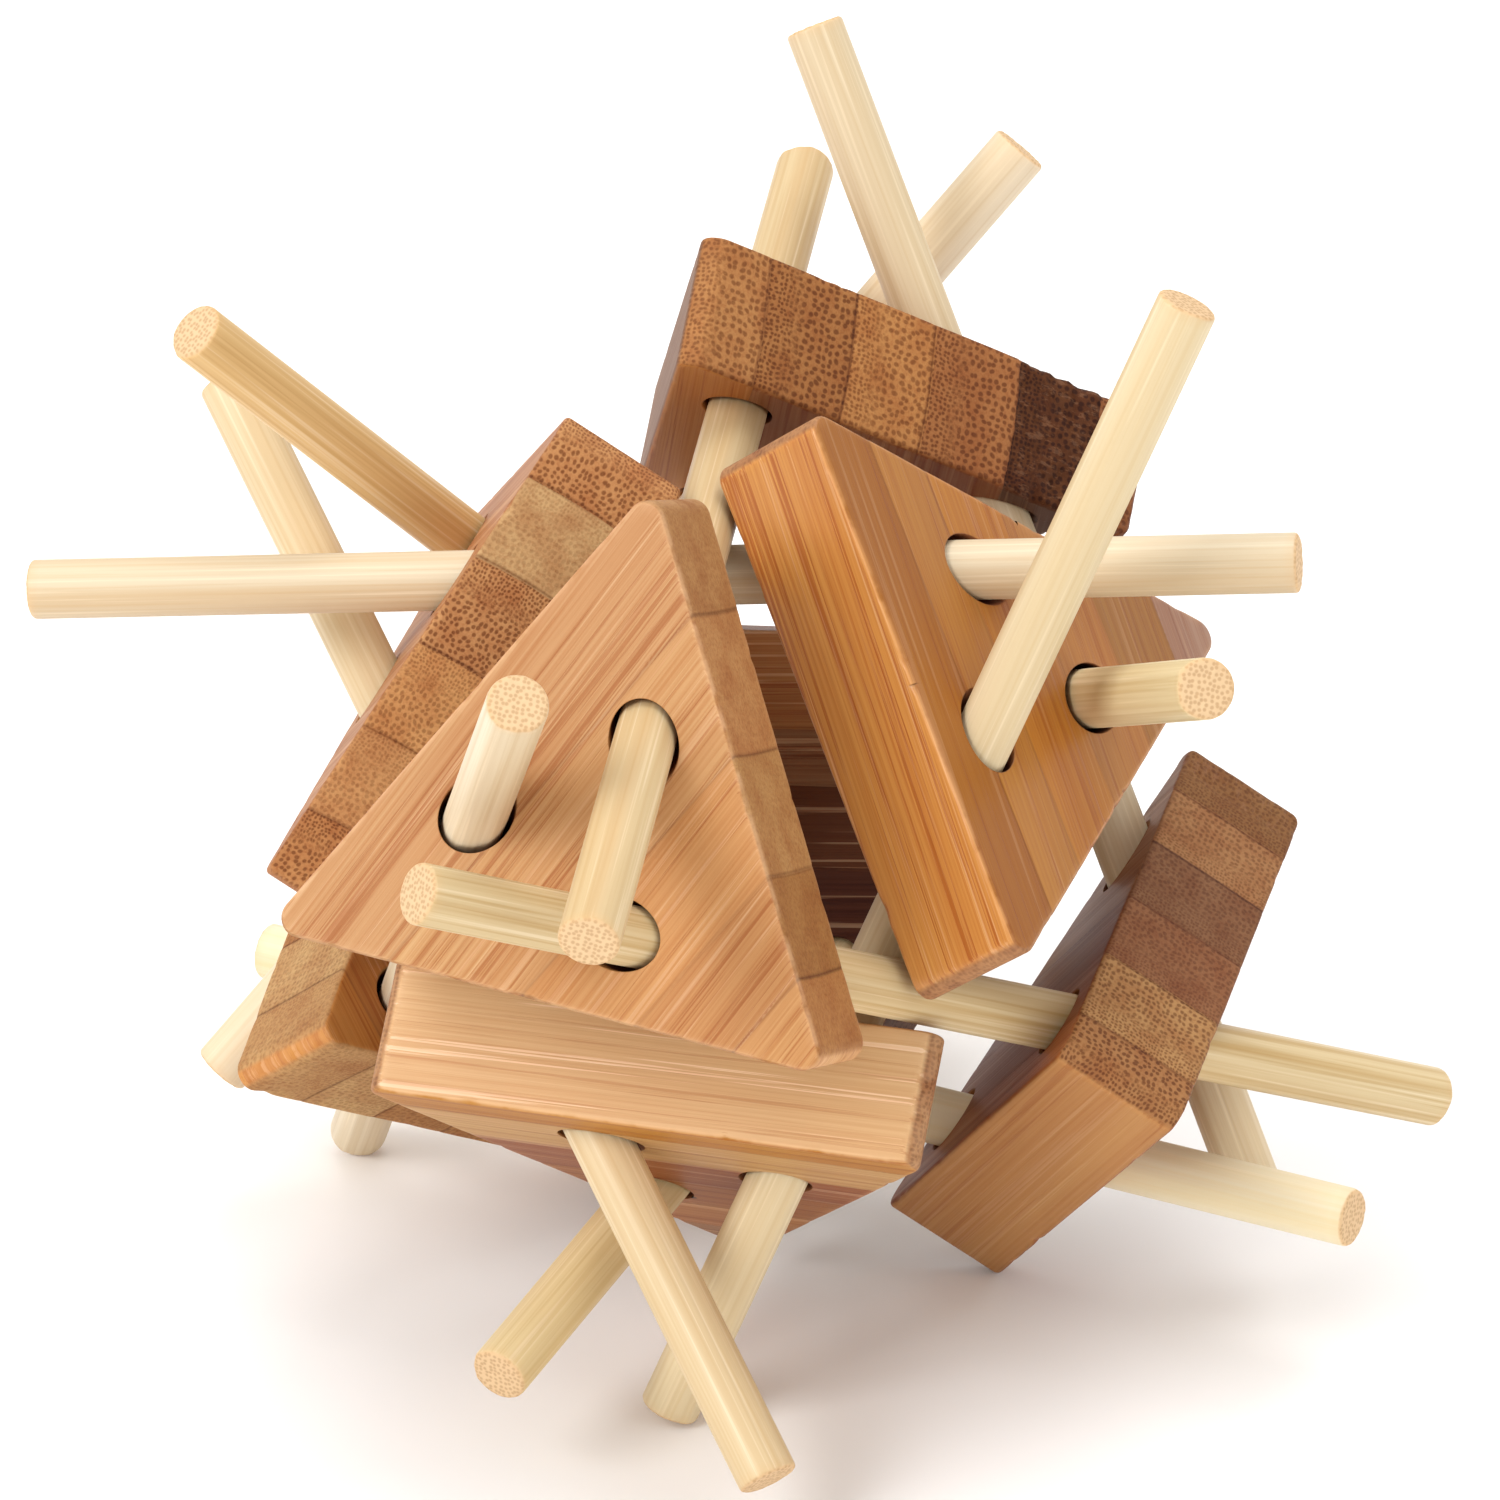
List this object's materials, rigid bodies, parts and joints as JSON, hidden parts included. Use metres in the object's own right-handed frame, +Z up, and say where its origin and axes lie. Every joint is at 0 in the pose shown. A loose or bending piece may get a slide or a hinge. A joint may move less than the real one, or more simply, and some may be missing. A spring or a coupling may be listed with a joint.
{
  "type": "interlocking stick puzzle",
  "caption": "Bamboo puzzle: round sticks threaded through the slanting holes of triangular laminated plates, in two interlocking tetrahedral frames.",
  "frame": {"origin": "on the surface that the puzzle stands on, below the middle of its bounding box", "axes": "+Z up as it stands on two stick ends and a plate corner, the front plate facing -Y"},
  "size_m": [0.1126, 0.12, 0.1008],
  "materials": {
    "carbonised_bamboo": "satin",
    "natural_bamboo": "satin"
  },
  "bodies": {
    "plate_assembly": {"front_plate": "carbonised_bamboo", "top_plate": "carbonised_bamboo", "lower_right_plate": "carbonised_bamboo", "lower_left_plate": "carbonised_bamboo", "upper_left_plate": "carbonised_bamboo", "bottom_plate": "carbonised_bamboo", "right_plate": "carbonised_bamboo", "back_plate": "carbonised_bamboo"},
    "stick_front_to_top": {"stick_front_to_top": "natural_bamboo"},
    "stick_front_to_lower_right": {"stick_front_to_lower_right": "natural_bamboo"},
    "stick_front_to_lower_left": {"stick_front_to_lower_left": "natural_bamboo"},
    "stick_top_to_lower_right": {"stick_top_to_lower_right": "natural_bamboo"},
    "stick_lower_right_to_lower_left": {"stick_lower_right_to_lower_left": "natural_bamboo"},
    "stick_top_to_lower_left": {"stick_top_to_lower_left": "natural_bamboo"},
    "stick_right_to_upper_left": {"stick_right_to_upper_left": "natural_bamboo"},
    "stick_right_to_bottom": {"stick_right_to_bottom": "natural_bamboo"},
    "stick_upper_left_to_bottom": {"stick_upper_left_to_bottom": "natural_bamboo"},
    "stick_right_to_back": {"stick_right_to_back": "natural_bamboo"},
    "stick_bottom_to_back": {"stick_bottom_to_back": "natural_bamboo"},
    "stick_upper_left_to_back": {"stick_upper_left_to_back": "natural_bamboo"}
  },
  "joints": [
    {"name": "slide_front_to_top", "type": "slide", "parent": "plate_assembly", "child": "stick_front_to_top", "axis": [0.185, -0.9628, -0.197], "range_m": [-0.0225, 0.0195]},
    {"name": "slide_front_to_lower_right", "type": "slide", "parent": "plate_assembly", "child": "stick_front_to_lower_right", "axis": [-0.5799, -0.6915, 0.4308], "range_m": [-0.0172, 0.0248]},
    {"name": "slide_front_to_lower_left", "type": "slide", "parent": "plate_assembly", "child": "stick_front_to_lower_left", "axis": [0.3949, -0.5643, 0.725], "range_m": [-0.022, 0.02]},
    {"name": "slide_top_to_lower_right", "type": "slide", "parent": "plate_assembly", "child": "stick_top_to_lower_right", "axis": [-0.4473, 0.229, 0.8646], "range_m": [-0.0273, 0.0147]},
    {"name": "slide_lower_right_to_lower_left", "type": "slide", "parent": "plate_assembly", "child": "stick_lower_right_to_lower_left", "axis": [0.9896, -0.1436, 0.0023], "range_m": [-0.0212, 0.0208]},
    {"name": "slide_top_to_lower_left", "type": "slide", "parent": "plate_assembly", "child": "stick_top_to_lower_left", "axis": [0.5423, 0.451, 0.7089], "range_m": [-0.0234, 0.0186]},
    {"name": "slide_right_to_upper_left", "type": "slide", "parent": "plate_assembly", "child": "stick_right_to_upper_left", "axis": [0.9754, 0.2071, 0.0759], "range_m": [-0.0242, 0.0334]},
    {"name": "slide_right_to_bottom", "type": "slide", "parent": "plate_assembly", "child": "stick_right_to_bottom", "axis": [0.3562, 0.2183, 0.9085], "range_m": [-0.0372, 0.0204]},
    {"name": "slide_upper_left_to_bottom", "type": "slide", "parent": "plate_assembly", "child": "stick_upper_left_to_bottom", "axis": [-0.6192, 0.4518, 0.6423], "range_m": [-0.0281, 0.0295]},
    {"name": "slide_right_to_back", "type": "slide", "parent": "plate_assembly", "child": "stick_right_to_back", "axis": [0.5833, -0.6808, 0.443], "range_m": [-0.0248, 0.0328]},
    {"name": "slide_bottom_to_back", "type": "slide", "parent": "plate_assembly", "child": "stick_bottom_to_back", "axis": [-0.1734, -0.9625, -0.2088], "range_m": [-0.0234, 0.0342]},
    {"name": "slide_upper_left_to_back", "type": "slide", "parent": "plate_assembly", "child": "stick_upper_left_to_back", "axis": [-0.4099, -0.5617, 0.7187], "range_m": [-0.034, 0.0236]}
  ]
}
